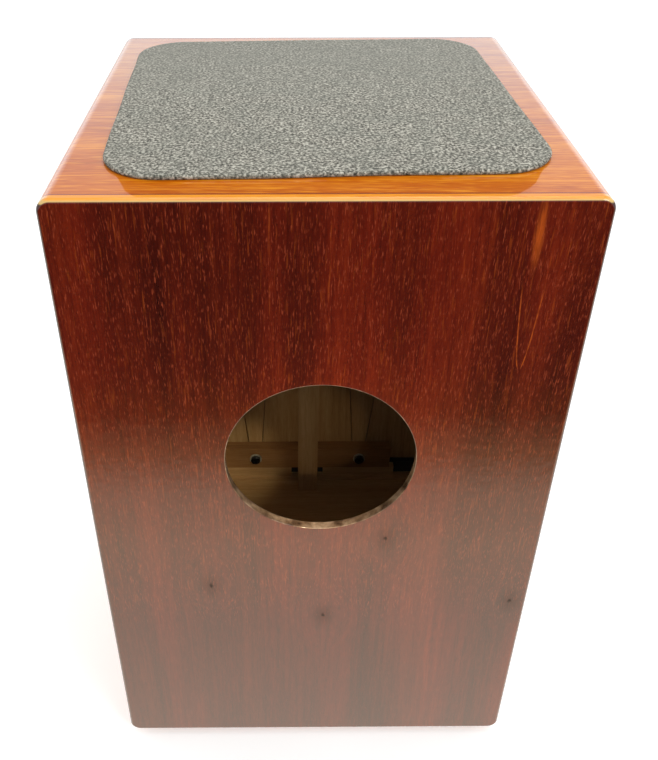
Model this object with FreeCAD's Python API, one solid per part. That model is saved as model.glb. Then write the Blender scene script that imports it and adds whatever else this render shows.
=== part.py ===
import FreeCAD, Part
import math
import os

# A snare-string cajon. Millimetres, +Z up, origin on the floor under the middle of the box.
# The sound hole is in the rear face (-Y), and the playing face, or tapa, is at the front (+Y).

# Box
BODY_WIDTH = 300.0
BODY_DEPTH = 300.0
BODY_HEIGHT = 475.0
BOARD_THICKNESS = 12.0
BACK_THICKNESS = 6.0
TAPA_THICKNESS = 3.0
LONG_EDGE_RADIUS = 8.0
BACK_EDGE_RADIUS = 2.5
TAPA_EDGE_RADIUS = 1.0

# Sound hole
SOUND_HOLE_DIAMETER = 120.0
SOUND_HOLE_DROP = 180.0
SOUND_HOLE_EASING = 0.6

# Seat pad, stuck on by hand a little out of square
PAD_SIDE_MARGIN = 22.0
PAD_END_MARGIN = 22.0
PAD_THICKNESS = 3.0
PAD_CORNER_RADIUS = 30.0
PAD_TURN_DEG = 2.0
PAD_OFFSET = FreeCAD.Vector(0.0, 4.0, 0.0)

# Inner post, and the strip, blocks, beam and felt at the foot of the tapa.
# The bar that the strings hang from under the top board is as deep as the beam.
POST_WIDTH = 20.0
POST_DEPTH = 18.0
BEAM_LENGTH = 176.0
BEAM_DEPTH = 12.0
BEAM_HEIGHT = 26.0
BEAM_TAPA_GAP = 3.0
BLOCK_LENGTH = 76.0
BLOCK_DEPTH = 6.0
BLOCK_HEIGHT = 14.0
BLOCK_INNER_GAP = 34.0
BLOCK_SETBACK = 2.0
STRIP_DEPTH = 18.0
STRIP_THICKNESS = 2.0

# String tuners: a hex-socket bolt turns in the beam and draws a threaded carrier along
TUNER_SPACING = 110.0
BOLT_DIAMETER = 6.0
BOLT_HEAD_DIAMETER = 10.0
BOLT_HEAD_HEIGHT = 3.0
BOLT_SOCKET_ACROSS_FLATS = 5.0
BOLT_SOCKET_DEPTH = 2.4
BOLT_RUNNING_CLEARANCE = 0.1
THREAD_CLEARANCE = 0.05
WASHER_DIAMETER = 12.7
WASHER_THICKNESS = 1.2
HEAD_CLEARANCE = 0.05
CARRIER_WIDTH = 22.0
CARRIER_HEIGHT = 12.0
CARRIER_THICKNESS = 4.0
CARRIER_TRAVEL = 1.5
CARRIER_SIDE_CLEARANCE = 0.3
CARRIER_END_CLEARANCE = 0.5
CARRIER_EDGE_RADIUS = 1.5

# Snare strings
STRING_DIAMETER = 1.0
STRING_HALF_SPACING = 6.4
STRING_OUTER_TOP_X = 104.0
STRING_INNER_TOP_X = 23.0
STRING_TAPA_CLEARANCE = 0.1
STRING_BEND_RADIUS = 3.0
STRING_HOLE_CLEARANCE = 0.3
ANCHOR_HEIGHT = 18.0
BALL_DIAMETER = 3.8
BALL_LENGTH = 1.6
BALL_BORE_CLEARANCE = 0.15
BALL_SEAT_CLEARANCE = 0.2

# Feet
FOOT_HEIGHT = 8.0
FOOT_TOP_DIAMETER = 30.0
FOOT_BOTTOM_DIAMETER = 26.0
FOOT_FLOOR_THICKNESS = 3.0
FOOT_RECESS_DIAMETER = 12.0
FOOT_EDGE_RADIUS = 1.2
FOOT_INSET = 35.0
FOOT_WASHER_DIAMETER = 11.0
FOOT_WASHER_THICKNESS = 1.0
FOOT_SCREW_DIAMETER = 4.0
FOOT_SCREW_CLEARANCE = 0.2
FOOT_SCREW_BITE = 9.0
FOOT_SCREW_HEAD_DIAMETER = 8.0
FOOT_SCREW_HEAD_HEIGHT = 2.4

# Tapa screws
TAPA_SCREW_DIAMETER = 3.0
TAPA_SCREW_HEAD_DIAMETER = 6.0
TAPA_SCREW_LENGTH = 20.0
TAPA_SCREW_CORNER_MARGIN = 22.0
TAPA_SCREWS_PER_SIDE = 5
TAPA_SCREWS_ALONG_TOP = 3

# Every screw
SCREW_POINT_LENGTH = 3.0
PILOT_CLEARANCE = 0.05
DRIVE_SLOT_WIDTH = 0.8
DRIVE_SLOT_DEPTH = 1.0

# Planes that the pieces share
FLOOR_Z = FOOT_HEIGHT
SEAT_Z = FLOOR_Z + BODY_HEIGHT
INNER_FLOOR_Z = FLOOR_Z + BOARD_THICKNESS
INNER_TOP_Z = SEAT_Z - BOARD_THICKNESS
INNER_HALF_WIDTH = BODY_WIDTH / 2 - BOARD_THICKNESS
REAR_Y = -BODY_DEPTH / 2
FRONT_Y = BODY_DEPTH / 2
BACK_INNER_Y = REAR_Y + BACK_THICKNESS
TAPA_INNER_Y = FRONT_Y - TAPA_THICKNESS
SOUND_HOLE_Z = SEAT_Z - SOUND_HOLE_DROP
FOOT_SCREW_SEAT_Z = FOOT_HEIGHT - FOOT_FLOOR_THICKNESS - FOOT_WASHER_THICKNESS

BEAM_FRONT_Y = TAPA_INNER_Y - BEAM_TAPA_GAP
BEAM_REAR_Y = BEAM_FRONT_Y - BEAM_DEPTH
BLOCK_BOTTOM_Z = INNER_FLOOR_Z + STRIP_THICKNESS
BEAM_BOTTOM_Z = BLOCK_BOTTOM_Z + BLOCK_HEIGHT
BEAM_TOP_Z = BEAM_BOTTOM_Z + BEAM_HEIGHT
TUNER_Z = BEAM_BOTTOM_Z + BEAM_HEIGHT / 2
BLOCK_REAR_Y = BEAM_REAR_Y + BLOCK_SETBACK
BLOCK_FRONT_Y = BLOCK_REAR_Y + BLOCK_DEPTH
POST_REAR_Y = BEAM_REAR_Y - POST_DEPTH

CARRIER_ROOM = CARRIER_THICKNESS + 2 * (CARRIER_TRAVEL + CARRIER_END_CLEARANCE)
POCKET_REAR_Y = BEAM_FRONT_Y - CARRIER_ROOM
CARRIER_REAR_Y = POCKET_REAR_Y + CARRIER_END_CLEARANCE + CARRIER_TRAVEL
CARRIER_FRONT_Y = CARRIER_REAR_Y + CARRIER_THICKNESS

STRING_Y = TAPA_INNER_Y - STRING_TAPA_CLEARANCE - STRING_DIAMETER / 2
ANCHOR_Z = INNER_TOP_Z - ANCHOR_HEIGHT / 2
TOP_BALL_Y = BEAM_REAR_Y - BALL_LENGTH
STRING_TOP_X = (-STRING_OUTER_TOP_X, -STRING_INNER_TOP_X, STRING_INNER_TOP_X, STRING_OUTER_TOP_X)
STRING_HOLE_RADIUS = STRING_DIAMETER / 2 + STRING_HOLE_CLEARANCE
BALL_BORE_RADIUS = STRING_DIAMETER / 2 + BALL_BORE_CLEARANCE

X_AXIS = FreeCAD.Vector(1, 0, 0)
Y_AXIS = FreeCAD.Vector(0, 1, 0)
Z_AXIS = FreeCAD.Vector(0, 0, 1)
SIDES = (("left", -1), ("right", 1))


def box(x_low, x_high, y_low, y_high, z_low, z_high):
    corner = FreeCAD.Vector(x_low, y_low, z_low)
    return Part.makeBox(x_high - x_low, y_high - y_low, z_high - z_low, corner)


def rod(radius, start, axis, length):
    return Part.makeCylinder(radius, length, start, axis)


def edges_along(shape, axis):
    found = []
    for edge in shape.Edges:
        run = edge.Vertexes[-1].Point - edge.Vertexes[0].Point
        if len(edge.Vertexes) == 2 and run.cross(axis).Length < 1e-6:
            found.append(edge)
    return found


def edges_in_plane(shape, axis, distance):
    found = []
    for edge in shape.Edges:
        points = [vertex.Point for vertex in edge.Vertexes]
        points.append(edge.valueAt((edge.FirstParameter + edge.LastParameter) / 2))
        if all(abs(point.dot(axis) - distance) < 1e-6 for point in points):
            found.append(edge)
    return found


def slab(y_low, y_high):
    """The box's outline, with its long edges rounded, between two planes across Y."""
    half = BODY_WIDTH / 2
    block = box(-half, half, y_low, y_high, FLOOR_Z, SEAT_Z)
    return block.makeFillet(LONG_EDGE_RADIUS, edges_along(block, Y_AXIS))


def turned(profile, start, axis):
    """A solid of revolution from (radius, distance along the axis) points."""
    points = [FreeCAD.Vector(radius, 0, along) for radius, along in profile]
    face = Part.Face(Part.makePolygon(points + points[:1]))
    solid = face.revolve(FreeCAD.Vector(), Z_AXIS, 360)
    turn = FreeCAD.Rotation(Z_AXIS, axis)
    solid.Placement = FreeCAD.Placement(start, turn)
    return solid


def cross_recess(arm_length, start, axis):
    """The cross in a screw head, cut from its outer face inwards."""
    arm = arm_length / 2
    half = DRIVE_SLOT_WIDTH / 2
    across = box(-arm, arm, -half, half, 0, DRIVE_SLOT_DEPTH)
    along = box(-half, half, -arm, arm, 0, DRIVE_SLOT_DEPTH)
    cross = across.fuse(along)
    cross.Placement = FreeCAD.Placement(start, FreeCAD.Rotation(Z_AXIS, axis))
    return cross


def hexagon(across_flats, start, axis, depth):
    radius = across_flats / math.sqrt(3)
    corners = []
    for step in range(7):
        angle = math.radians(60 * step)
        corners.append(FreeCAD.Vector(radius * math.cos(angle), radius * math.sin(angle), 0))
    prism = Part.Face(Part.makePolygon(corners)).extrude(Z_AXIS * depth)
    prism.Placement = FreeCAD.Placement(start, FreeCAD.Rotation(Z_AXIS, axis))
    return prism


# Shell -----------------------------------------------------------------------------------

def shell_boards():
    """Four boards mitred at the corners of the rounded outline."""
    inner_x = INNER_HALF_WIDTH
    outer_x = BODY_WIDTH / 2
    hollow = box(-inner_x, inner_x, BACK_INNER_Y, TAPA_INNER_Y, INNER_FLOOR_Z, INNER_TOP_Z)
    ring = slab(BACK_INNER_Y, TAPA_INNER_Y).cut(hollow)
    top_left = ((-outer_x, SEAT_Z), (-inner_x, INNER_TOP_Z))
    top_right = ((outer_x, SEAT_Z), (inner_x, INNER_TOP_Z))
    bottom_left = ((-outer_x, FLOOR_Z), (-inner_x, INNER_FLOOR_Z))
    bottom_right = ((outer_x, FLOOR_Z), (inner_x, INNER_FLOOR_Z))
    mitre_pairs = {
        "top_board": (top_left, top_right),
        "bottom_board": (bottom_left, bottom_right),
        "left_side": (bottom_left, top_left),
        "right_side": (bottom_right, top_right),
    }
    boards = {}
    for name, (first, second) in mitre_pairs.items():
        corners = (first[0], second[0], second[1], first[1], first[0])
        outline = Part.makePolygon([FreeCAD.Vector(x, BACK_INNER_Y, z) for x, z in corners])
        wedge = Part.Face(outline).extrude(Y_AXIS * (TAPA_INNER_Y - BACK_INNER_Y))
        boards[name] = ring.common(wedge)
    return boards


def back_panel():
    panel = slab(REAR_Y, BACK_INNER_Y)
    panel = panel.makeFillet(BACK_EDGE_RADIUS, edges_in_plane(panel, Y_AXIS, REAR_Y))
    centre = FreeCAD.Vector(0, REAR_Y, SOUND_HOLE_Z)
    radius = SOUND_HOLE_DIAMETER / 2
    panel = panel.cut(rod(radius, centre, Y_AXIS, BACK_THICKNESS))
    rims = [edge for edge in panel.Edges
            if hasattr(edge.Curve, "Radius") and abs(edge.Curve.Radius - radius) < 1e-6]
    return panel.makeFillet(SOUND_HOLE_EASING, rims)


def tapa():
    panel = slab(TAPA_INNER_Y, FRONT_Y)
    return panel.makeFillet(TAPA_EDGE_RADIUS, edges_in_plane(panel, Y_AXIS, FRONT_Y))


def tapa_screw_places():
    """Screw centres (x, z): down both sides and along the top, in the middle of the boards."""
    side_x = BODY_WIDTH / 2 - BOARD_THICKNESS / 2
    low = FLOOR_Z + TAPA_SCREW_CORNER_MARGIN
    high = SEAT_Z - TAPA_SCREW_CORNER_MARGIN
    places = []
    for step in range(TAPA_SCREWS_PER_SIDE):
        z = low + (high - low) * step / (TAPA_SCREWS_PER_SIDE - 1)
        places += [(-side_x, z), (side_x, z)]
    reach = BODY_WIDTH / 2 - TAPA_SCREW_CORNER_MARGIN - BOARD_THICKNESS
    for step in range(TAPA_SCREWS_ALONG_TOP):
        x = -reach + 2 * reach * step / (TAPA_SCREWS_ALONG_TOP - 1)
        places.append((x, SEAT_Z - BOARD_THICKNESS / 2))
    return places


def countersunk_screw(x, z, clearance=0.0):
    """A tapa screw, or with a clearance the hole that it fills."""
    shank = TAPA_SCREW_DIAMETER / 2 + clearance
    head = TAPA_SCREW_HEAD_DIAMETER / 2 + clearance
    length = TAPA_SCREW_LENGTH + clearance
    profile = (
        (0, 0),
        (head, 0),
        (shank, head - shank),
        (shank, length - SCREW_POINT_LENGTH),
        (0, length),
    )
    return turned(profile, FreeCAD.Vector(x, FRONT_Y, z), -Y_AXIS)


# Inner woodwork --------------------------------------------------------------------------

def center_post():
    half = POST_WIDTH / 2
    return box(-half, half, POST_REAR_Y, BEAM_REAR_Y, INNER_FLOOR_Z, INNER_TOP_Z)


def beam_base_strip(post):
    rear = TAPA_INNER_Y - STRIP_DEPTH
    strip = box(
        -INNER_HALF_WIDTH, INNER_HALF_WIDTH, rear, TAPA_INNER_Y, INNER_FLOOR_Z, BLOCK_BOTTOM_Z)
    return strip.cut(post)


def beam_block(side):
    near = side * BLOCK_INNER_GAP / 2
    far = near + side * BLOCK_LENGTH
    return box(
        min(near, far), max(near, far), BLOCK_REAR_Y, BLOCK_FRONT_Y, BLOCK_BOTTOM_Z, BEAM_BOTTOM_Z)


def felt_strip():
    return box(
        -INNER_HALF_WIDTH, INNER_HALF_WIDTH, BLOCK_FRONT_Y, TAPA_INNER_Y, BLOCK_BOTTOM_Z,
        BEAM_BOTTOM_Z)


def string_beam():
    half = BEAM_LENGTH / 2
    beam = box(-half, half, BEAM_REAR_Y, BEAM_FRONT_Y, BEAM_BOTTOM_Z, BEAM_TOP_Z)
    pocket_x = CARRIER_WIDTH / 2 + CARRIER_SIDE_CLEARANCE
    pocket_z = CARRIER_HEIGHT / 2 + CARRIER_SIDE_CLEARANCE
    for x in (-TUNER_SPACING / 2, TUNER_SPACING / 2):
        pocket = box(
            x - pocket_x, x + pocket_x, POCKET_REAR_Y, BEAM_FRONT_Y,
            TUNER_Z - pocket_z, TUNER_Z + pocket_z)
        bore = rod(
            BOLT_DIAMETER / 2 + BOLT_RUNNING_CLEARANCE,
            FreeCAD.Vector(x, BEAM_REAR_Y, TUNER_Z), Y_AXIS, BEAM_DEPTH)
        beam = beam.cut(pocket).cut(bore)
    return beam


def top_anchor_bar():
    bar = box(
        -INNER_HALF_WIDTH, INNER_HALF_WIDTH, BEAM_REAR_Y, BEAM_FRONT_Y,
        INNER_TOP_Z - ANCHOR_HEIGHT, INNER_TOP_Z)
    for x in STRING_TOP_X:
        start = FreeCAD.Vector(x, BEAM_REAR_Y, ANCHOR_Z)
        bar = bar.cut(rod(STRING_HOLE_RADIUS, start, Y_AXIS, BEAM_DEPTH))
    return bar


# Tuners and strings ----------------------------------------------------------------------

def tuner_bolt(x):
    underside_y = BEAM_REAR_Y - WASHER_THICKNESS - HEAD_CLEARANCE
    outer_y = underside_y - BOLT_HEAD_HEIGHT
    ease = 0.5
    head = BOLT_HEAD_DIAMETER / 2
    shank = BOLT_DIAMETER / 2
    length = BEAM_FRONT_Y - outer_y
    profile = (
        (0, 0),
        (head - ease, 0),
        (head, ease),
        (head, BOLT_HEAD_HEIGHT),
        (shank, BOLT_HEAD_HEIGHT),
        (shank, length - ease),
        (shank - ease, length),
        (0, length),
    )
    start = FreeCAD.Vector(x, outer_y, TUNER_Z)
    socket = hexagon(BOLT_SOCKET_ACROSS_FLATS, start, Y_AXIS, BOLT_SOCKET_DEPTH)
    return turned(profile, start, Y_AXIS).cut(socket)


def tuner_washer(x):
    start = FreeCAD.Vector(x, BEAM_REAR_Y - WASHER_THICKNESS, TUNER_Z)
    disc = rod(WASHER_DIAMETER / 2, start, Y_AXIS, WASHER_THICKNESS)
    bore = rod(BOLT_DIAMETER / 2 + BOLT_RUNNING_CLEARANCE, start, Y_AXIS, WASHER_THICKNESS)
    return disc.cut(bore)


def string_carrier(x):
    half = CARRIER_WIDTH / 2
    tall = CARRIER_HEIGHT / 2
    plate = box(
        x - half, x + half, CARRIER_REAR_Y, CARRIER_FRONT_Y, TUNER_Z - tall, TUNER_Z + tall)
    plate = plate.makeFillet(CARRIER_EDGE_RADIUS, edges_along(plate, Y_AXIS))
    centre = FreeCAD.Vector(x, CARRIER_REAR_Y, TUNER_Z)
    plate = plate.cut(rod(BOLT_DIAMETER / 2 + THREAD_CLEARANCE, centre, Y_AXIS, CARRIER_THICKNESS))
    for side in (-1, 1):
        start = centre + X_AXIS * (side * STRING_HALF_SPACING)
        seat = rod(BALL_DIAMETER / 2 + BALL_SEAT_CLEARANCE, start, Y_AXIS, BALL_LENGTH)
        plate = plate.cut(rod(STRING_HOLE_RADIUS, start, Y_AXIS, CARRIER_THICKNESS)).cut(seat)
    return plate


def ball_end(x, y, z):
    start = FreeCAD.Vector(x, y, z)
    ball = rod(BALL_DIAMETER / 2, start, Y_AXIS, BALL_LENGTH)
    return ball.cut(rod(BALL_BORE_RADIUS, start, Y_AXIS, BALL_LENGTH))


def rounded_path(points, radius):
    """Straight runs joined by tangent arcs of one radius."""
    edges = []
    start = points[0]
    for corner, after in zip(points[1:-1], points[2:]):
        into = (corner - start).normalize()
        out = (after - corner).normalize()
        turn = into.getAngle(out)
        cut_back = radius * math.tan(turn / 2)
        arc_start = corner - into * cut_back
        arc_end = corner + out * cut_back
        centre_way = (out - into).normalize()
        centre = corner + centre_way * (radius / math.cos(turn / 2))
        middle = centre - centre_way * radius
        edges.append(Part.LineSegment(start, arc_start).toShape())
        edges.append(Part.Arc(arc_start, middle, arc_end).toShape())
        start = arc_end
    edges.append(Part.LineSegment(start, points[-1]).toShape())
    return Part.Wire(edges)


def snare_string(bottom_x, top_x):
    """Up the inside of the tapa, with both ends turned back through their holders."""
    points = [
        FreeCAD.Vector(bottom_x, CARRIER_REAR_Y, TUNER_Z),
        FreeCAD.Vector(bottom_x, STRING_Y, TUNER_Z),
        FreeCAD.Vector(top_x, STRING_Y, ANCHOR_Z),
        FreeCAD.Vector(top_x, TOP_BALL_Y, ANCHOR_Z),
    ]
    path = rounded_path(points, STRING_BEND_RADIUS)
    section = Part.Wire(Part.makeCircle(STRING_DIAMETER / 2, points[0], Y_AXIS))
    return path.makePipeShell([section], True, False)


# Feet ------------------------------------------------------------------------------------

def foot(x, y):
    hole = FOOT_SCREW_DIAMETER / 2 + FOOT_SCREW_CLEARANCE
    profile = (
        (FOOT_RECESS_DIAMETER / 2, 0),
        (FOOT_BOTTOM_DIAMETER / 2 - FOOT_EDGE_RADIUS, 0),
        (FOOT_BOTTOM_DIAMETER / 2, FOOT_EDGE_RADIUS),
        (FOOT_TOP_DIAMETER / 2, FOOT_HEIGHT),
        (hole, FOOT_HEIGHT),
        (hole, FOOT_HEIGHT - FOOT_FLOOR_THICKNESS),
        (FOOT_RECESS_DIAMETER / 2, FOOT_HEIGHT - FOOT_FLOOR_THICKNESS),
    )
    return turned(profile, FreeCAD.Vector(x, y, 0), Z_AXIS)


def foot_washer(x, y):
    start = FreeCAD.Vector(x, y, FOOT_SCREW_SEAT_Z)
    disc = rod(FOOT_WASHER_DIAMETER / 2, start, Z_AXIS, FOOT_WASHER_THICKNESS)
    hole = FOOT_SCREW_DIAMETER / 2 + FOOT_SCREW_CLEARANCE
    return disc.cut(rod(hole, start, Z_AXIS, FOOT_WASHER_THICKNESS))


def foot_screw(x, y, clearance=0.0):
    """A foot's pan-head screw, or with a clearance the hole that it fills."""
    head = FOOT_SCREW_HEAD_DIAMETER / 2
    shank = FOOT_SCREW_DIAMETER / 2 + clearance
    crown = FOOT_SCREW_HEAD_HEIGHT / 3
    tip = FOOT_HEIGHT - FOOT_SCREW_SEAT_Z + FOOT_SCREW_BITE + clearance
    profile = (
        (0, -FOOT_SCREW_HEAD_HEIGHT),
        (head - crown, -FOOT_SCREW_HEAD_HEIGHT),
        (head, -FOOT_SCREW_HEAD_HEIGHT + crown),
        (head, 0),
        (shank, 0),
        (shank, tip - SCREW_POINT_LENGTH),
        (0, tip),
    )
    return turned(profile, FreeCAD.Vector(x, y, FOOT_SCREW_SEAT_Z), Z_AXIS)


# Seat pad --------------------------------------------------------------------------------

def seat_pad():
    half_x = BODY_WIDTH / 2 - PAD_SIDE_MARGIN
    half_y = BODY_DEPTH / 2 - PAD_END_MARGIN
    pad = box(-half_x, half_x, -half_y, half_y, SEAT_Z, SEAT_Z + PAD_THICKNESS)
    pad = pad.makeFillet(PAD_CORNER_RADIUS, edges_along(pad, Z_AXIS))
    pad.rotate(FreeCAD.Vector(), Z_AXIS, PAD_TURN_DEG)
    pad.translate(PAD_OFFSET)
    return pad


def build():
    nodes = shell_boards()
    nodes["back_panel"] = back_panel()
    nodes["tapa"] = tapa()
    nodes["seat_pad"] = seat_pad()
    nodes["center_post"] = center_post()
    nodes["beam_base_strip"] = beam_base_strip(nodes["center_post"])
    nodes["felt_strip"] = felt_strip()
    nodes["string_beam"] = string_beam()
    nodes["top_anchor_bar"] = top_anchor_bar()

    top_balls = []
    for name, side in SIDES:
        x = side * TUNER_SPACING / 2
        nodes["beam_block_" + name] = beam_block(side)
        nodes["tuner_bolt_" + name] = tuner_bolt(x)
        nodes["tuner_washer_" + name] = tuner_washer(x)
        nodes["string_carrier_" + name] = string_carrier(x)
        lower_balls = []
        for lean, way, top_x in (
                ("outer", 1, STRING_OUTER_TOP_X), ("inner", -1, STRING_INNER_TOP_X)):
            bottom_x = x + side * way * STRING_HALF_SPACING
            nodes["string_" + name + "_" + lean] = snare_string(bottom_x, side * top_x)
            lower_balls.append(ball_end(bottom_x, CARRIER_REAR_Y, TUNER_Z))
            top_balls.append(ball_end(side * top_x, TOP_BALL_Y, ANCHOR_Z))
        nodes["lower_ball_ends_" + name] = Part.makeCompound(lower_balls)
    nodes["top_ball_ends"] = Part.makeCompound(top_balls)

    tapa_screws = []
    tapa_holes = []
    for x, z in tapa_screw_places():
        recess = cross_recess(TAPA_SCREW_DIAMETER, FreeCAD.Vector(x, FRONT_Y, z), -Y_AXIS)
        tapa_screws.append(countersunk_screw(x, z).cut(recess))
        tapa_holes.append(countersunk_screw(x, z, PILOT_CLEARANCE))
    for board in ("tapa", "top_board", "left_side", "right_side"):
        nodes[board] = nodes[board].cut(tapa_holes)
    nodes["tapa_screws"] = Part.makeCompound(tapa_screws)

    foot_screws = []
    foot_holes = []
    foot_washers = []
    for end, y in (("front", FRONT_Y - FOOT_INSET), ("rear", REAR_Y + FOOT_INSET)):
        for name, side in SIDES:
            x = side * (BODY_WIDTH / 2 - FOOT_INSET)
            nodes["foot_" + end + "_" + name] = foot(x, y)
            foot_washers.append(foot_washer(x, y))
            recess_start = FreeCAD.Vector(x, y, FOOT_SCREW_SEAT_Z - FOOT_SCREW_HEAD_HEIGHT)
            recess = cross_recess(FOOT_SCREW_DIAMETER, recess_start, Z_AXIS)
            foot_screws.append(foot_screw(x, y).cut(recess))
            foot_holes.append(foot_screw(x, y, PILOT_CLEARANCE))
    nodes["bottom_board"] = nodes["bottom_board"].cut(foot_holes)
    nodes["foot_screws"] = Part.makeCompound(foot_screws)
    nodes["foot_washers"] = Part.makeCompound(foot_washers)
    return nodes


os.makedirs("parts", exist_ok=True)
for node_name, shape in build().items():
    shape.exportStep("parts/" + node_name + ".step")
    print(node_name, len(shape.Solids), "solids", round(shape.Volume, 1), "mm3", shape.isValid())
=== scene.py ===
import math

import bpy
from mathutils import Matrix, Vector, noise


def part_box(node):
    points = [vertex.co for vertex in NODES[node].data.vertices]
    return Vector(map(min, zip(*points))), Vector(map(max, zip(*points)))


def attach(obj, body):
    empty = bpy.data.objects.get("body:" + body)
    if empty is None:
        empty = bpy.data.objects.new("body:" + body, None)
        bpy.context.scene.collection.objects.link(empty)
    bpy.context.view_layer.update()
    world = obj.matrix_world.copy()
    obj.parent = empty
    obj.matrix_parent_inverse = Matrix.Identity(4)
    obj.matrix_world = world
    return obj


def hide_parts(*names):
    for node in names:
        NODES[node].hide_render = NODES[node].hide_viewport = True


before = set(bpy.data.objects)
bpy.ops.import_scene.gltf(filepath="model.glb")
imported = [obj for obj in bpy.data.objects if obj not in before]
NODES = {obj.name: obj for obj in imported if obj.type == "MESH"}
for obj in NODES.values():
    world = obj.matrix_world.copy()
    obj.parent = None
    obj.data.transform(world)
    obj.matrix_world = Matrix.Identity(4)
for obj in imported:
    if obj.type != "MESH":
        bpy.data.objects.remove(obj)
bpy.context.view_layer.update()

MM = 0.001

# The camera, in metres and degrees in the model's frame
CAMERA_PLACE = (-0.0200, -0.5511, 0.6709)
CAMERA_PITCH_DOWN = 34.437
CAMERA_YAW = -0.273
CAMERA_ROLL = -0.090
CAMERA_LENS_MM = 40.62
CAMERA_SHIFT = (0.0493, -0.0530)

# Planes of the box, read from the CAD nodes
REAR_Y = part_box("back_panel")[0].y
BACK_INNER_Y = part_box("back_panel")[1].y
TAPA_INNER_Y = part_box("tapa")[0].y
INNER_FLOOR_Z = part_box("center_post")[0].z
INNER_TOP_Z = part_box("center_post")[1].z
INNER_HALF_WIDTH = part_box("felt_strip")[1].x
SEAT_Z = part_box("back_panel")[1].z
FACE_SKIN = 0.15 * MM

# Sound hole
HOLE_RADIUS = 60 * MM
HOLE_Z = SEAT_Z - 180 * MM

# Seat pad: a foam sheet with a pebbled face, stuck on a little out of square
PAD_WIDTH = 254 * MM
PAD_DEPTH = 256 * MM
PAD_CORNER = 34 * MM
PAD_TURN_DEG = 2.0
PAD_CELLS = 320
PAD_EDGE_ROUND = 1.2 * MM
PAD_PEBBLE = 1.9 * MM
PAD_FACE_SINK = 0.25 * MM

# Cards that only reflections see
CARD_BRIGHTNESS = 2.65
FLOOR_CARD_REACH = 0.6
SEAT_CARD_STEPS = 40
SEAT_CARD_HEIGHT = 20 * MM

# Figure of the rear panel's veneer, as (x, z) places on its face
KNOTS = ((-0.075, 0.186), (0.045, 0.233), (0.0045, 0.153), (0.138, 0.168))
FLAME_TIP = (0.114, 0.374)
FLAME_TOP_Z = 0.436
GLOW_PLACE = (0.112, 0.462)

# Stains and woods, as linear colours
MAHOGANY_DARK = (0.034, 0.0018, 0.0003)
MAHOGANY_MID = (0.072, 0.0042, 0.0006)
MAHOGANY_WARM = (0.128, 0.0110, 0.0013)
MAHOGANY_PINK = (0.215, 0.0330, 0.0110)
MAHOGANY_ORANGE = (0.330, 0.0560, 0.0040)
PORE_DARK = (0.010, 0.003, 0.001)
AMBER_DARK = (0.36, 0.062, 0.0008)
AMBER_MID = (0.53, 0.122, 0.0018)
AMBER_LIGHT = (0.78, 0.285, 0.0130)
# Pale cream for the rear panel's rounded top arris: partly bare pale wood, partly a painted
# highlight
ARRIS_PALE_HIGHLIGHT = (0.60, 0.400, 0.1350)
GLUE_LINE = (0.22, 0.0200, 0.0010)
RAW_DARK = (0.36, 0.205, 0.080)
RAW_MID = (0.52, 0.330, 0.150)
RAW_LIGHT = (0.66, 0.460, 0.240)


# Camera, light and floor -----------------------------------------------------------------

def link_object(name, data):
    made = bpy.data.objects.new(name, data)
    bpy.context.scene.collection.objects.link(made)
    return made


def make_camera():
    """Level, looking along +Y, then rolled, pitched down and turned by the yaw."""
    turn = Matrix.Rotation(math.radians(CAMERA_YAW), 4, "Z")
    tilt = Matrix.Rotation(math.radians(90 - CAMERA_PITCH_DOWN), 4, "X")
    roll = Matrix.Rotation(math.radians(CAMERA_ROLL), 4, "Z")
    data = bpy.data.cameras.new("camera")
    data.sensor_fit = "AUTO"
    data.sensor_width = 36.0
    data.lens = CAMERA_LENS_MM
    data.shift_x, data.shift_y = CAMERA_SHIFT
    camera = link_object("camera", data)
    camera.matrix_world = Matrix.Translation(CAMERA_PLACE) @ turn @ tilt @ roll
    bpy.context.scene.camera = camera


def aim(light, place, target):
    light.location = place
    light.rotation_mode = "QUATERNION"
    light.rotation_quaternion = (Vector(target) - Vector(place)).to_track_quat("-Z", "Y")


def area_light(name, place, target, size, watts):
    data = bpy.data.lights.new(name, "AREA")
    data.shape = "DISK"
    data.size = size
    data.energy = watts
    aim(link_object(name, data), place, target)


def spot_light(name, place, target, width_deg, watts, colour):
    data = bpy.data.lights.new(name, "SPOT")
    data.spot_size = math.radians(width_deg)
    data.spot_blend = 0.7
    data.shadow_soft_size = 0.06
    data.energy = watts
    data.color = colour
    aim(link_object(name, data), place, target)


def make_lights():
    world = bpy.data.worlds.new("studio")
    world.use_nodes = True
    sky = world.node_tree.nodes["Background"]
    sky.inputs["Color"].default_value = (1.0, 1.0, 1.0, 1.0)
    sky.inputs["Strength"].default_value = 1.0
    bpy.context.scene.world = world
    hole = (0.0, REAR_Y, HOLE_Z)
    area_light("window", (0.95, -1.25, 1.15), hole, 0.6, 8.0)
    area_light("overhead", (0.15, 0.25, 1.9), (0.0, 0.0, SEAT_Z), 1.2, 8.0)
    spot_light("onto_the_hole_floor", (0.25, -0.90, 0.99), hole, 5.8, 30.0, (1.0, 0.84, 0.56))
    spot_light("onto_the_post", (0.0, -1.10, 1.035), hole, 2.8, 26.0, (1.0, 0.78, 0.50))


def quad(name, corners):
    mesh = bpy.data.meshes.new(name)
    mesh.from_pydata(corners, [], [(0, 1, 2, 3)])
    return link_object(name, mesh)


def only_in_reflections(card):
    card.visible_camera = False
    card.visible_diffuse = False
    card.visible_shadow = False
    card.visible_transmission = False


# Materials -------------------------------------------------------------------------------

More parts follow.
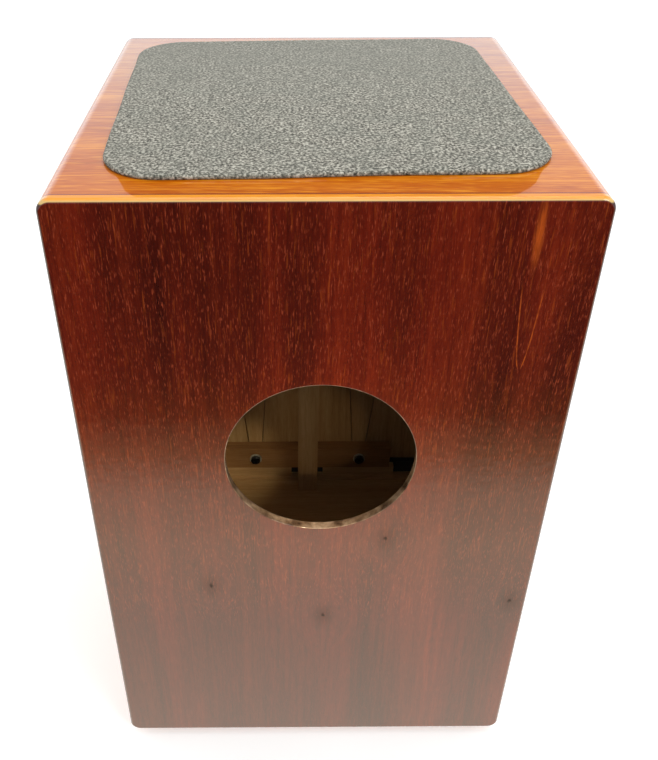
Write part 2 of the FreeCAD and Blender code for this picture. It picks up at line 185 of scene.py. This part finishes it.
class Recipe:
    """A material's node tree, built by short calls. Positions are the model's own, in metres."""

    def __init__(self, name):
        self.material = bpy.data.materials.new(name)
        self.material.use_nodes = True
        self.tree = self.material.node_tree
        self.shader = self.tree.nodes["Principled BSDF"]
        self.place = self.add("ShaderNodeTexCoord").outputs["Object"]
        self.axes = self.add("ShaderNodeSeparateXYZ", Vector=self.place).outputs

    def add(self, kind, settings=None, **inputs):
        made = self.tree.nodes.new(kind)
        for key, value in (settings or {}).items():
            setattr(made, key, value)
        for key, value in inputs.items():
            self.feed(made.inputs[key], value)
        return made

    def feed(self, socket, value):
        if isinstance(value, bpy.types.NodeSocket):
            self.tree.links.new(value, socket)
        elif socket.type == "RGBA" and len(value) == 3:
            socket.default_value = (*value, 1.0)
        else:
            socket.default_value = value

    def math(self, operation, first, second=0.0, third=0.0, clamp=False):
        made = self.add("ShaderNodeMath", {"operation": operation, "use_clamp": clamp})
        for socket, value in zip(made.inputs, (first, second, third)):
            self.feed(socket, value)
        return made.outputs[0]

    def times(self, *values):
        product = values[0]
        for value in values[1:]:
            product = self.math("MULTIPLY", product, value)
        return product

    def vector(self, x, y, z):
        return self.add("ShaderNodeCombineXYZ", X=x, Y=y, Z=z).outputs[0]

    def scaled(self, vector, factors):
        made = self.add("ShaderNodeVectorMath", {"operation": "MULTIPLY"})
        self.feed(made.inputs[0], vector)
        self.feed(made.inputs[1], factors)
        return made.outputs[0]

    def noise(self, vector, scale, detail=2.0, roughness=0.5):
        made = self.add("ShaderNodeTexNoise", Vector=vector, Scale=scale, Detail=detail,
                        Roughness=roughness)
        return made.outputs["Fac"]

    def span(self, value, low, high, to_low=0.0, to_high=1.0):
        made = self.add("ShaderNodeMapRange", {"interpolation_type": "SMOOTHSTEP"})
        for key, number in (("Value", value), ("From Min", low), ("From Max", high),
                            ("To Min", to_low), ("To Max", to_high)):
            self.feed(made.inputs[key], number)
        return made.outputs["Result"]

    def ramp(self, value, stops):
        made = self.add("ShaderNodeValToRGB", Fac=value)
        elements = made.color_ramp.elements
        while len(elements) < len(stops):
            elements.new(0.5)
        for element, (position, colour) in zip(elements, stops):
            element.position = position
            element.color = (*colour, 1.0)
        return made.outputs["Color"]

    def mix(self, factor, first, second, blend="MIX"):
        made = self.add("ShaderNodeMix", {"data_type": "RGBA", "blend_type": blend})
        self.feed(made.inputs["Factor"], factor)
        self.feed(made.inputs[6], first)
        self.feed(made.inputs[7], second)
        return made.outputs[2]

    def bump(self, height, distance, strength=1.0):
        made = self.add("ShaderNodeBump", Height=height, Distance=distance, Strength=strength)
        return made.outputs["Normal"]

    def distance_in_face(self, place, stretch=1.0):
        """How far a point of the rear face is from an (x, z) place, with Z shortened."""
        across = self.math("SUBTRACT", self.axes["X"], place[0])
        up = self.math("MULTIPLY", self.math("SUBTRACT", self.axes["Z"], place[1]), stretch)
        return self.math("SQRT", self.math("ADD", self.times(across, across), self.times(up, up)))

    def finish(self, **sockets):
        for key, value in sockets.items():
            self.feed(self.shader.inputs[key.replace("_", " ")], value)
        return self.material


def paint(material, *names):
    for name in names:
        slots = NODES[name].data.materials
        slots.clear()
        slots.append(material)


def along_grain(recipe, grain, wander=0.004, push=None):
    """Positions with the grain running along the third axis, wandering a little sideways."""
    order = {"X": "YZX", "Y": "ZXY", "Z": "XYZ"}[grain]
    across, through, along = (recipe.axes[axis] for axis in order)
    turned = recipe.vector(across, through, along)
    drift = recipe.noise(recipe.scaled(turned, (6.0, 6.0, 2.5)), 1.0, detail=1.0)
    drift = recipe.math("MULTIPLY", recipe.math("SUBTRACT", drift, 0.5), wander * 2)
    if push is not None:
        drift = recipe.math("ADD", drift, push)
    return recipe.vector(
        recipe.math("ADD", across, drift), recipe.math("ADD", through, drift), along)


def wood_tones(recipe, grain_space, tones, contrast=1.0):
    """Broad bands, narrow lines and short fibres, as one colour from dark, mid and light."""
    bands = recipe.noise(recipe.scaled(grain_space, (1.0, 1.0, 0.06)), 42.0, detail=3.0)
    lines = recipe.noise(recipe.scaled(grain_space, (1.0, 1.0, 0.03)), 320.0, detail=3.0,
                         roughness=0.65)
    fibres = recipe.noise(recipe.scaled(grain_space, (1.0, 1.0, 0.09)), 1150.0, detail=2.0)
    tone = recipe.math("ADD", recipe.times(bands, 0.40), recipe.times(lines, 0.35))
    tone = recipe.math("ADD", tone, recipe.times(fibres, 0.25))
    half = 0.17 / contrast
    stops = ((0.5 - half, tones[0]), (0.5, tones[1]), (0.5 + half, tones[2]))
    return recipe.ramp(tone, stops), fibres


def raw_wood(recipe, grain, tones=(RAW_DARK, RAW_MID, RAW_LIGHT)):
    return wood_tones(recipe, along_grain(recipe, grain), tones, 0.9)


def lacquer(recipe, colour, fibres, coat=1.0):
    """A glossy clear coat over stained wood, with faint orange peel and fibre relief."""
    peel = recipe.noise(recipe.place, 160.0, detail=1.0)
    return recipe.finish(Base_Color=colour, Roughness=0.35, Specular_IOR_Level=0.05,
                         Coat_Weight=coat, Coat_Roughness=0.06, Coat_IOR=1.5,
                         Normal=recipe.bump(fibres, 0.03 * MM),
                         Coat_Normal=recipe.bump(peel, 0.06 * MM))


def glue_line(recipe, colour, value, plane, width=0.7 * MM):
    """A dark line on the joint with the next board, at a plane across the given axis."""
    off = recipe.math("ABSOLUTE", recipe.math("SUBTRACT", value, plane))
    return recipe.mix(recipe.span(off, width * 1.4, width * 0.6), colour, GLUE_LINE)


def knot_marks(recipe):
    """Small dark knots, their soft halos and how far they push the grain aside."""
    dark = 0.0
    push = 0.0
    for place in KNOTS:
        away = recipe.distance_in_face(place, 0.6)
        ragged = recipe.math("MULTIPLY", recipe.noise(recipe.place, 500.0, detail=3.0), 3.0 * MM)
        core = recipe.span(recipe.math("ADD", away, ragged), 4.0 * MM, 1.6 * MM)
        halo = recipe.times(recipe.span(away, 13.0 * MM, 1.0 * MM), 0.35)
        dark = recipe.math("MAXIMUM", recipe.math("MAXIMUM", core, halo), dark)
        side = recipe.math("SUBTRACT", recipe.axes["X"], place[0])
        near = recipe.span(away, 30.0 * MM, 0.0)
        push = recipe.math("ADD", push, recipe.times(side, near, -0.55))
    return dark, push


def flame_lines(recipe):
    """Two thin light lines that open upwards from a tip, where the veneer cuts a growth ring."""
    rise = recipe.math("SUBTRACT", recipe.axes["Z"], FLAME_TIP[1])
    spread = recipe.math("SQRT", recipe.math("MAXIMUM", rise, 0.0))
    side = recipe.math("ABSOLUTE", recipe.math("SUBTRACT", recipe.axes["X"], FLAME_TIP[0]))
    off = recipe.math("SUBTRACT", side, recipe.times(spread, 0.026))
    lines = recipe.span(recipe.math("ABSOLUTE", off), 0.55 * MM, 0.10 * MM)
    inside = recipe.times(
        recipe.span(rise, 0.0, 4.0 * MM),
        recipe.span(recipe.axes["Z"], FLAME_TOP_Z, FLAME_TOP_Z - 0.02))
    broken = recipe.span(recipe.noise(recipe.place, 160.0), 0.35, 0.60, 0.35, 1.0)
    return recipe.times(lines, inside, broken)


def rear_face_stain(recipe):
    """Dark red-brown veneer, livelier in its upper part, with its marks and knots."""
    knots, push = knot_marks(recipe)
    grain_space = along_grain(recipe, "Z", 0.005, push)
    stained, fibres = wood_tones(
        recipe, grain_space, (MAHOGANY_DARK, MAHOGANY_MID, MAHOGANY_WARM))
    calm = recipe.noise(recipe.scaled(recipe.place, (14.0, 1.0, 6.0)), 1.0, detail=1.0)
    calm_edge = recipe.math("ADD", recipe.axes["Z"], recipe.times(calm, 0.10))
    lively = recipe.span(calm_edge, 0.185, 0.225, 0.22, 1.0)
    broad = recipe.noise(recipe.scaled(grain_space, (1.0, 1.0, 0.10)), 26.0, detail=1.0)
    stained = recipe.mix(1.0, stained, recipe.span(broad, 0.36, 0.64, 0.72, 1.25), "MULTIPLY")
    glints = recipe.noise(recipe.scaled(grain_space, (1.0, 1.0, 0.13)), 1700.0, detail=1.0)
    glints = recipe.times(recipe.span(glints, 0.56, 0.78), lively, 0.85)
    streaks = recipe.noise(recipe.scaled(grain_space, (1.0, 1.0, 0.07)), 800.0, detail=2.0)
    streaks = recipe.times(recipe.span(streaks, 0.56, 0.80), lively, 0.35)
    pores = recipe.noise(recipe.scaled(grain_space, (1.0, 1.0, 0.35)), 1900.0, detail=1.0)
    stained = recipe.mix(streaks, stained, MAHOGANY_ORANGE)
    stained = recipe.mix(glints, stained, MAHOGANY_PINK)
    stained = recipe.mix(recipe.times(recipe.span(pores, 0.62, 0.74), 0.5), stained, PORE_DARK)
    glow = recipe.span(recipe.distance_in_face(GLOW_PLACE, 0.13), 3.8 * MM, 0.4 * MM)
    glow = recipe.times(glow, recipe.span(fibres, 0.30, 0.60, 0.45, 1.0), 0.85)
    stained = recipe.mix(glow, stained, MAHOGANY_ORANGE)
    stained = recipe.mix(recipe.times(flame_lines(recipe), 0.8), stained, MAHOGANY_ORANGE)
    return recipe.mix(recipe.times(knots, 0.9), stained, PORE_DARK), fibres, knots


def rear_panel_edge(recipe):
    """The panel's edges: dark, but amber along the top, and pale cream on its rounded arris, partly
    bare pale wood and partly a painted highlight.
    """
    amber = wood_tones(
        recipe, along_grain(recipe, "X"), (AMBER_MID, AMBER_LIGHT, AMBER_LIGHT))[0]
    amber = glue_line(recipe, amber, recipe.axes["Y"], BACK_INNER_Y)
    # Painted highlight: the rounded arris under the flat top edge is turned pale cream, partly bare
    # pale wood and partly painted light from above
    arris_highlight = recipe.span(recipe.axes["Z"], SEAT_Z - 0.1 * MM, SEAT_Z - 1.6 * MM)
    amber = recipe.mix(arris_highlight, amber, ARRIS_PALE_HIGHLIGHT)
    near_top = recipe.span(recipe.axes["Z"], SEAT_Z - 3.6 * MM, SEAT_Z - 2.4 * MM)
    return recipe.mix(near_top, MAHOGANY_DARK, amber)


def hole_wall(recipe):
    """Smeared bare ply round the sound hole, with painted shade: brightened at the middle and
    darkened towards both sides.
    """
    smears = recipe.noise(recipe.place, 110.0, detail=4.0, roughness=0.6)
    wall = recipe.ramp(smears, ((0.36, (0.05, 0.022, 0.010)), (0.50, (0.24, 0.14, 0.075)),
                                (0.66, (0.46, 0.31, 0.19))))
    # Painted shade: the wall colour is multiplied up at the middle and down towards both sides
    shade = recipe.span(recipe.math("ABSOLUTE", recipe.axes["X"]), 0.055, 0.010, 0.55, 1.25)
    return recipe.mix(1.0, wall, shade, "MULTIPLY")


def back_panel_material():
    """Stain on the rear face, bare wood inside, and a coat that the knots wear thin."""
    recipe = Recipe("mahogany_stain_rear")
    stained, fibres, knots = rear_face_stain(recipe)
    on_face = recipe.span(recipe.axes["Y"], REAR_Y + 0.30 * MM, REAR_Y + 0.08 * MM)
    colour = recipe.mix(on_face, rear_panel_edge(recipe), stained)
    inside = recipe.math("GREATER_THAN", recipe.axes["Y"], BACK_INNER_Y - FACE_SKIN)
    colour = recipe.mix(inside, colour, raw_wood(recipe, "Z")[0])
    from_axis = recipe.distance_in_face((0.0, HOLE_Z))
    in_hole = recipe.math("LESS_THAN", from_axis, HOLE_RADIUS + 0.45 * MM)
    colour = recipe.mix(in_hole, colour, hole_wall(recipe))
    return lacquer(recipe, colour, fibres, coat=recipe.span(knots, 0.0, 1.0, 1.0, 0.35))


def board_material(name, grain, inside_axis, inside_above, inside_limit, shade_at_tapa=0.85):
    """Amber stain with painted shade that darkens it towards the tapa, bare wood inside, and dark
    glue lines.
    """
    recipe = Recipe(name)
    stained, fibres = wood_tones(
        recipe, along_grain(recipe, grain, 0.006), (AMBER_DARK, AMBER_MID, AMBER_LIGHT), 1.05)
    streak_space = along_grain(recipe, grain, 0.010)
    for stretch, scale in ((0.06, 380.0), (0.05, 1000.0)):
        streaks = recipe.noise(
            recipe.scaled(streak_space, (1.0, 1.0, stretch)), scale, detail=2.0)
        streaks = recipe.times(recipe.span(streaks, 0.54, 0.72), 0.7)
        stained = recipe.mix(streaks, stained, AMBER_LIGHT)
    # Painted shade: the stained colour is darkened from the rear panel towards the tapa, strongest
    # on the top board
    far_shade = recipe.span(recipe.axes["Y"], REAR_Y, TAPA_INNER_Y, 0.95, shade_at_tapa)
    stained = recipe.mix(1.0, stained, far_shade, "MULTIPLY")
    stained = glue_line(recipe, stained, recipe.axes["Y"], BACK_INNER_Y)
    stained = glue_line(recipe, stained, recipe.axes["Y"], TAPA_INNER_Y)
    raw = raw_wood(recipe, grain)[0]
    value = recipe.axes[inside_axis]
    if inside_axis == "X":
        value = recipe.math("ABSOLUTE", value)
    operation = "GREATER_THAN" if inside_above else "LESS_THAN"
    inside = recipe.math(operation, value, inside_limit)
    return lacquer(recipe, recipe.mix(inside, stained, raw), fibres)


def tapa_material():
    recipe = Recipe("mahogany_stain_front")
    stained, fibres = wood_tones(
        recipe, along_grain(recipe, "Z", 0.007), (MAHOGANY_DARK, MAHOGANY_MID, MAHOGANY_WARM))
    glints = recipe.noise(
        recipe.scaled(along_grain(recipe, "Z"), (1.0, 1.0, 0.070)), 900.0, detail=1.0)
    stained = recipe.mix(
        recipe.times(recipe.span(glints, 0.58, 0.76), 0.6), stained, MAHOGANY_ORANGE)
    raw = raw_wood(recipe, "Z")[0]
    inside = recipe.math("LESS_THAN", recipe.axes["Y"], TAPA_INNER_Y + FACE_SKIN)
    return lacquer(recipe, recipe.mix(inside, stained, raw), fibres)


def plain_wood(name, grain, *tones):
    recipe = Recipe(name)
    colour, fibres = raw_wood(recipe, grain, tones or (RAW_DARK, RAW_MID, RAW_LIGHT))
    return recipe.finish(Base_Color=colour, Roughness=0.75,
                         Normal=recipe.bump(fibres, 0.08 * MM))


def metal(name, colour, roughness=0.35, metallic=1.0):
    recipe = Recipe(name)
    smear = recipe.noise(recipe.place, 900.0, detail=3.0)
    tone = recipe.mix(recipe.span(smear, 0.35, 0.7), colour,
                      tuple(0.72 * channel for channel in colour))
    return recipe.finish(Base_Color=tone, Metallic=metallic,
                         Roughness=recipe.span(smear, 0.3, 0.7, roughness, roughness + 0.2),
                         Normal=recipe.bump(smear, 0.02 * MM))


def wound_string_material():
    recipe = Recipe("string_wire")
    turn = recipe.math("PINGPONG", recipe.axes["Z"], 0.3 * MM)
    ridge = recipe.math("DIVIDE", turn, 0.3 * MM)
    # Painted shade and highlight: the grooves between the windings are coloured darker and the
    # crests lighter
    tone = recipe.ramp(ridge, ((0.1, (0.14, 0.08, 0.04)), (0.9, (0.52, 0.36, 0.20))))
    return recipe.finish(Base_Color=tone, Metallic=1.0, Roughness=0.4,
                         Normal=recipe.bump(ridge, 0.10 * MM))


def rubber(name, colour):
    recipe = Recipe(name)
    grain = recipe.noise(recipe.place, 1600.0, detail=3.0)
    dust = recipe.noise(recipe.place, 90.0, detail=3.0)
    tone = recipe.mix(recipe.span(dust, 0.45, 0.75), colour,
                      tuple(channel + 0.03 for channel in colour))
    return recipe.finish(Base_Color=tone, Roughness=0.8, Normal=recipe.bump(grain, 0.08 * MM))


def felt_material():
    recipe = Recipe("black_felt")
    fuzz = recipe.noise(recipe.place, 1300.0, detail=4.0, roughness=0.7)
    tone = recipe.ramp(fuzz, ((0.35, (0.004, 0.004, 0.004)), (0.7, (0.022, 0.022, 0.024))))
    return recipe.finish(Base_Color=tone, Roughness=0.95, Sheen_Weight=0.3,
                         Normal=recipe.bump(fuzz, 0.3 * MM))


def pad_material():
    recipe = Recipe("speckled_pad")
    specks = recipe.noise(recipe.place, 620.0, detail=3.0, roughness=0.62)
    blotches = recipe.noise(recipe.place, 60.0, detail=2.0)
    tone = recipe.ramp(specks, ((0.36, (0.034, 0.032, 0.026)), (0.50, (0.190, 0.182, 0.150)),
                                (0.64, (0.520, 0.505, 0.430))))
    tone = recipe.mix(recipe.span(blotches, 0.35, 0.65, 0.0, 0.25), tone, (0.14, 0.15, 0.125))
    dusty = recipe.span(recipe.axes["Y"], -0.06, 0.12, 0.0, 0.45)
    tone = recipe.mix(dusty, tone, (0.205, 0.205, 0.175))
    return recipe.finish(Base_Color=tone, Roughness=0.8, Specular_IOR_Level=0.25,
                         Normal=recipe.bump(specks, 0.45 * MM))


def floor_material():
    recipe = Recipe("pale_floor")
    mottle = recipe.noise(recipe.place, 6.0, detail=3.0)
    tone = recipe.ramp(mottle, ((0.3, (0.88, 0.88, 0.87)), (0.7, (0.92, 0.92, 0.91))))
    return recipe.finish(Base_Color=tone, Roughness=0.9, Specular_IOR_Level=0.1,
                         Emission_Color=(1.0, 1.0, 1.0), Emission_Strength=0.30)


def lit_card_material(name, distance_axis, start, reach, stops):
    """Light given off by a card that only reflections see, by distance from a plane."""
    recipe = Recipe(name)
    away = recipe.math("DIVIDE", recipe.math("SUBTRACT", start, recipe.axes[distance_axis]), reach)
    glow = recipe.ramp(away, stops)
    return recipe.finish(Base_Color=(0.0, 0.0, 0.0), Roughness=1.0, Specular_IOR_Level=0.0,
                         Emission_Color=glow, Emission_Strength=CARD_BRIGHTNESS)


def dark_card_material():
    return Recipe("dark_card").finish(
        Base_Color=(0.0, 0.0, 0.0), Roughness=1.0, Specular_IOR_Level=0.0)


# Stage -----------------------------------------------------------------------------------

def make_floor():
    corners = [(-4.0, -4.0, 0.0), (4.0, -4.0, 0.0), (4.0, 4.0, 0.0), (-4.0, 4.0, 0.0)]
    floor = quad("floor", corners)
    floor.data.materials.append(floor_material())


def make_floor_card():
    """What the rear face mirrors: a lit patch of floor that fades to a dark room."""
    z = 0.5 * MM
    near = REAR_Y - 1.0 * MM
    far = REAR_Y - 3.0
    card = quad("floor_card", [(-2.0, far, z), (2.0, far, z), (2.0, near, z), (-2.0, near, z)])
    stops = (
        (0.02, (0.80, 0.71, 0.58)),
        (0.20, (0.83, 0.73, 0.58)),
        (0.34, (1.00, 0.80, 0.58)),
        (0.46, (0.88, 0.66, 0.45)),
        (0.57, (0.50, 0.28, 0.13)),
        (0.69, (0.12, 0.045, 0.006)),
        (0.83, (0.010, 0.004, 0.0)),
        (1.00, (0.0, 0.0, 0.0)),
    )
    card.data.materials.append(lit_card_material("lit_floor", "Y", REAR_Y, FLOOR_CARD_REACH, stops))
    only_in_reflections(card)


def make_backdrop_card():
    """What the seat mirrors: a backdrop that is brightest low down."""
    y = 1.5
    card = quad("backdrop_card", [(-2.5, y, 0.5), (2.5, y, 0.5), (2.5, y, 2.0), (-2.5, y, 2.0)])
    stops = (
        (0.53, (0.27, 0.28, 0.29)),
        (0.77, (0.62, 0.64, 0.66)),
    )
    card.data.materials.append(lit_card_material("lit_backdrop", "Z", 2.0, 1.5, stops))
    only_in_reflections(card)


# Seat pad --------------------------------------------------------------------------------

def rounded_outline(a, b):
    """Where a point of the square from -1 to 1 falls on the pad's rounded outline."""
    half_x = PAD_WIDTH / 2
    half_y = PAD_DEPTH / 2
    on_end = abs(a) < abs(b)
    share, straight = (abs(a), half_x - PAD_CORNER) if on_end else (abs(b), half_y - PAD_CORNER)
    run = share * (straight + PAD_CORNER * math.pi / 4)
    if run < straight:
        along, inset = run, 0.0
    else:
        angle = (run - straight) / PAD_CORNER
        along = straight + PAD_CORNER * math.sin(angle)
        inset = PAD_CORNER * (1 - math.cos(angle))
    x, y = (along, half_y - inset) if on_end else (half_x - inset, along)
    return Vector((math.copysign(x, a), math.copysign(y, b), 0.0))


def pad_placement():
    low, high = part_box("seat_pad")
    centre = (low + high) / 2
    turn = Matrix.Rotation(math.radians(PAD_TURN_DEG), 4, "Z")
    return Matrix.Translation((centre.x, centre.y, low.z)) @ turn


def make_seat_card():
    """A dark strip round the near end of the pad, which keeps glare off the seat's rear lip."""
    steps = SEAT_CARD_STEPS
    points = []
    for step in range(steps + 1):
        point = rounded_outline(2.0 * step / steps - 1.0, -1.0)
        height = SEAT_CARD_HEIGHT * math.sin(math.pi * step / steps) ** 0.35
        points += [point + Vector((0.0, 0.0, 0.2 * MM)), point + Vector((0.0, 0.0, height))]
    faces = [(2 * step, 2 * step + 2, 2 * step + 3, 2 * step + 1) for step in range(steps)]
    mesh = bpy.data.meshes.new("seat_card")
    mesh.from_pydata(points, [], faces)
    mesh.transform(pad_placement())
    card = link_object("seat_card", mesh)
    card.data.materials.append(dark_card_material())
    only_in_reflections(card)


def pad_top_point(u, v, thickness):
    """One point of the pad's face: domed at its rim, pebbled and slightly uneven."""
    ring = max(abs(u), abs(v))
    if ring == 0.0:
        return Vector((0.0, 0.0, thickness))
    point = rounded_outline(u / ring, v / ring) * ring
    wobble = noise.noise(point * 14.0) * 1.2 * MM * ring ** 6
    point += point.normalized() * wobble
    from_rim = (1.0 - ring) * PAD_WIDTH / 2
    slope = max(0.0, 1.0 - from_rim / PAD_EDGE_ROUND)
    drop = PAD_EDGE_ROUND * (1.0 - math.sqrt(1.0 - slope * slope)) * 0.75
    pebbles = noise.noise(point / PAD_PEBBLE) * 0.13 * MM
    swell = noise.noise(point * 22.0) * 0.12 * MM
    return point + Vector((0.0, 0.0, thickness - PAD_FACE_SINK - drop + pebbles + swell))


def make_pad():
    low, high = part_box("seat_pad")
    thickness = high.z - low.z
    count = PAD_CELLS + 1
    points = []
    for row in range(count):
        for column in range(count):
            u = 2.0 * column / PAD_CELLS - 1.0
            v = 2.0 * row / PAD_CELLS - 1.0
            points.append(pad_top_point(u, v, thickness))
    faces = []
    for row in range(PAD_CELLS):
        for column in range(PAD_CELLS):
            corner = row * count + column
            faces.append((corner, corner + 1, corner + 1 + count, corner + count))

    rim = list(range(count - 1))
    rim += [row * count + count - 1 for row in range(count - 1)]
    rim += [(count - 1) * count + column for column in range(count - 1, 0, -1)]
    rim += [row * count for row in range(count - 1, 0, -1)]
    above = rim
    for inset, height in ((0.0, 1.3 * MM), (0.25 * MM, 0.5 * MM), (0.9 * MM, 0.05 * MM)):
        below = []
        for place in rim:
            point = points[place]
            flat = Vector((point.x, point.y, 0.0))
            below.append(len(points))
            points.append(flat - flat.normalized() * inset + Vector((0.0, 0.0, height)))
        for step in range(len(rim)):
            after = (step + 1) % len(rim)
            faces.append((above[after], above[step], below[step], below[after]))
        above = below
    faces.append(tuple(reversed(above)))

    mesh = bpy.data.meshes.new("seat_pad_mesh")
    mesh.from_pydata(points, [], faces)
    mesh.transform(pad_placement())
    mesh.polygons.foreach_set("use_smooth", [True] * len(mesh.polygons))
    mesh.materials.append(pad_material())
    pad = link_object("pebbled_seat_pad", mesh)
    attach(pad, "root")
    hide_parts("seat_pad")


make_camera()
make_lights()
make_floor()
make_floor_card()
make_backdrop_card()
make_seat_card()
make_pad()

paint(back_panel_material(), "back_panel")
paint(tapa_material(), "tapa")
# The top board gets the strongest painted shade towards the tapa
paint(board_material("amber_stain_top", "X", "Z", False, INNER_TOP_Z + FACE_SKIN, 0.60),
      "top_board")
paint(board_material("amber_stain_bottom", "X", "Z", True, INNER_FLOOR_Z - FACE_SKIN),
      "bottom_board")
paint(board_material("amber_stain_side", "Z", "X", False, INNER_HALF_WIDTH + FACE_SKIN),
      "left_side", "right_side")
paint(plain_wood("pale_upright", "Z"), "center_post")
paint(plain_wood("pale_batten", "X"), "beam_base_strip", "beam_block_left", "beam_block_right",
      "top_anchor_bar")
paint(plain_wood("brown_batten", "X", (0.18, 0.085, 0.030), (0.30, 0.150, 0.055),
                 (0.40, 0.220, 0.090)), "string_beam")
paint(felt_material(), "felt_strip")
paint(metal("zinc_plate", (0.82, 0.82, 0.78)), "string_carrier_left", "string_carrier_right",
      "foot_screws", "foot_washers")
paint(metal("dull_zinc", (0.66, 0.62, 0.52), 0.5, 0.3), "tuner_washer_left",
      "tuner_washer_right")
paint(metal("dark_steel", (0.045, 0.045, 0.050)), "tuner_bolt_left", "tuner_bolt_right",
      "tapa_screws")
paint(metal("brass", (0.75, 0.52, 0.22), 0.25), "lower_ball_ends_left", "lower_ball_ends_right",
      "top_ball_ends")
paint(wound_string_material(), "string_left_outer", "string_left_inner",
      "string_right_inner", "string_right_outer")
paint(rubber("foot_rubber", (0.02, 0.02, 0.02)), "foot_front_left", "foot_front_right",
      "foot_rear_left", "foot_rear_right")

bpy.context.scene.view_settings.view_transform = "Standard"
